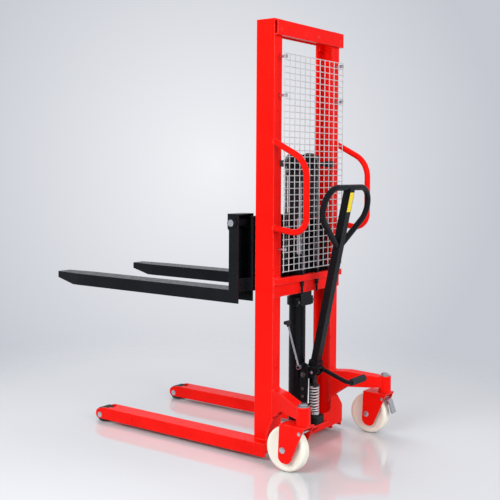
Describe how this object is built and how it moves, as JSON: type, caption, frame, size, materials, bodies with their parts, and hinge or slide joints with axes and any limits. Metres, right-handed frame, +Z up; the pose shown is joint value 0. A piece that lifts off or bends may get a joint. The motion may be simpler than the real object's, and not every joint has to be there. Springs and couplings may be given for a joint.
{
  "type": "hand pallet stacker",
  "caption": "Hand pallet stacker with a chain-lifted fork carriage on a channel mast, straddle legs, pump tiller, wire guard and swivel casters.",
  "frame": {"origin": "on the floor, under the middle of the overall box", "axes": "+Z up, +Y forward along the forks, +X to the operator's right"},
  "size_m": [0.84, 1.664, 2],
  "materials": {
    "red_paint": "gloss red enamel",
    "black_paint": "satin black enamel",
    "zinc_steel": "zinc plated",
    "bright_steel": "ground bright",
    "chain_steel": "oiled leaf chain",
    "roller_iron": "machined iron",
    "ivory_nylon": "cast nylon",
    "black_polymer": "moulded polyurethane",
    "black_rubber": "moulded rubber"
  },
  "bodies": {
    "mast": {"left_upright": "red_paint", "right_upright": "red_paint", "top_crossbar": "red_paint", "top_front_tie": "red_paint", "middle_crossbeam": "red_paint", "base_crossbeam": "red_paint", "left_leg": "red_paint", "right_leg": "red_paint", "left_caster_arm": "red_paint", "right_caster_arm": "red_paint", "left_grab_bar": "red_paint", "right_grab_bar": "red_paint", "frame_bolts": "zinc_steel", "roller_axles": "zinc_steel", "mesh_guard": "zinc_steel", "mesh_screws": "zinc_steel", "lift_cylinder": "black_paint", "cylinder_clamp": "black_paint", "chain_anchors": "black_paint", "rear_chains": "chain_steel", "pump_block": "black_paint", "pump_bracket": "black_paint", "plunger_collar": "zinc_steel", "pivot_shaft": "zinc_steel", "return_spring": "zinc_steel"},
    "crosshead": {"piston_rod": "bright_steel", "lift_crosshead": "black_paint", "crosshead_shoes": "black_polymer", "pulley_pins": "bright_steel", "chain_wraps": "chain_steel"},
    "pulleys": {"chain_pulleys": "roller_iron"},
    "carriage": {"carriage_frame": "black_paint", "fork_shaft": "bright_steel", "shaft_collars": "black_paint", "guide_roller_pins": "bright_steel", "front_chains": "chain_steel"},
    "upper_rollers": {"upper_guide_rollers": "roller_iron"},
    "lower_rollers": {"lower_guide_rollers": "roller_iron"},
    "fork_left": {"left_fork": "black_paint"},
    "fork_right": {"right_fork": "black_paint"},
    "tiller": {"rocker_casting": "black_paint", "rocker_roller": "zinc_steel", "tiller_stem": "black_paint", "tiller_loop": "black_paint", "pedal_bar": "black_paint", "pedal_sleeve": "black_rubber"},
    "plunger": {"pump_plunger": "zinc_steel"},
    "release": {"release_lever": "zinc_steel", "release_knob": "black_rubber"},
    "caster_left": {"left_caster_yoke": "red_paint", "left_king_pin": "zinc_steel", "left_caster_bolts": "zinc_steel"},
    "caster_right": {"right_caster_yoke": "red_paint", "right_king_pin": "zinc_steel", "right_caster_bolts": "zinc_steel"},
    "wheel_left": {"left_wheel": "ivory_nylon"},
    "wheel_right": {"right_wheel": "ivory_nylon"},
    "brake": {"brake_pedal": "zinc_steel"},
    "load_roller_left": {"left_load_roller": "black_polymer"},
    "load_roller_right": {"right_load_roller": "black_polymer"}
  },
  "joints": [
    {"name": "piston_lift", "type": "slide", "parent": "mast", "child": "crosshead", "axis": [0, 0, 1], "range_m": [-0.337, 0.418], "deforming": ["rear_chains"]},
    {"name": "carriage_lift", "type": "slide", "parent": "crosshead", "child": "carriage", "axis": [0, 0, 1], "range_m": [-0.337, 0.418], "deforming": ["front_chains"]},
    {"name": "pulley_turn", "type": "hinge", "parent": "crosshead", "child": "pulleys", "pos_m": [0, -0.517, 1.347], "axis": [1, 0, 0], "continuous": true},
    {"name": "upper_roller_turn", "type": "hinge", "parent": "carriage", "child": "upper_rollers", "pos_m": [0, -0.498, 1.03], "axis": [1, 0, 0], "continuous": true},
    {"name": "lower_roller_turn", "type": "hinge", "parent": "carriage", "child": "lower_rollers", "pos_m": [0, -0.498, 0.8], "axis": [1, 0, 0], "continuous": true},
    {"name": "left_fork_slide", "type": "slide", "parent": "carriage", "child": "fork_left", "axis": [1, 0, 0], "range_m": [0, 0.12]},
    {"name": "right_fork_slide", "type": "slide", "parent": "carriage", "child": "fork_right", "axis": [-1, 0, 0], "range_m": [0, 0.12]},
    {"name": "tiller_pump", "type": "hinge", "parent": "mast", "child": "tiller", "pos_m": [0, -0.562, 0.345], "axis": [1, 0, 0], "range_deg": [0, 45], "stiffness_Nm_per_rad": 40, "springref_deg": -45.84},
    {"name": "plunger_stroke", "type": "slide", "parent": "mast", "child": "plunger", "axis": [0, 0, -1], "range_m": [0, 0.0305], "deforming": ["return_spring"]},
    {"name": "release_pull", "type": "hinge", "parent": "mast", "child": "release", "pos_m": [-0.082, -0.561, 0.387], "axis": [1, 0, 0], "range_deg": [0, 18], "stiffness_Nm_per_rad": 1.5, "springref_deg": -17.19},
    {"name": "left_swivel", "type": "hinge", "parent": "mast", "child": "caster_left", "pos_m": [-0.371, -0.776, 0.25], "axis": [0, 0, 1], "continuous": true},
    {"name": "right_swivel", "type": "hinge", "parent": "mast", "child": "caster_right", "pos_m": [0.371, -0.776, 0.25], "axis": [0, 0, 1], "continuous": true},
    {"name": "left_wheel_spin", "type": "hinge", "parent": "caster_left", "child": "wheel_left", "pos_m": [-0.371, -0.697, 0.1], "axis": [1, 0, 0], "continuous": true},
    {"name": "right_wheel_spin", "type": "hinge", "parent": "caster_right", "child": "wheel_right", "pos_m": [0.371, -0.697, 0.1], "axis": [1, 0, 0], "continuous": true},
    {"name": "brake_press", "type": "hinge", "parent": "caster_right", "child": "brake", "pos_m": [0.371, -0.782, 0.186], "axis": [1, 0, 0], "range_deg": [0, 15]},
    {"name": "left_load_roll", "type": "hinge", "parent": "mast", "child": "load_roller_left", "pos_m": [-0.29, 0.508, 0.037], "axis": [1, 0, 0], "continuous": true},
    {"name": "right_load_roll", "type": "hinge", "parent": "mast", "child": "load_roller_right", "pos_m": [0.29, 0.508, 0.037], "axis": [1, 0, 0], "continuous": true}
  ],
  "couplings": [
    {"joint": "carriage_lift", "follows": "piston_lift", "ratio": 1},
    {"joint": "pulley_turn", "follows": "piston_lift", "rad_per_m": 20.833},
    {"joint": "upper_roller_turn", "follows": "piston_lift", "rad_per_m": -48.781},
    {"joint": "lower_roller_turn", "follows": "piston_lift", "rad_per_m": 48.781},
    {"joint": "plunger_stroke", "follows": "tiller_pump", "m_per_rad": 0.0379}
  ]
}
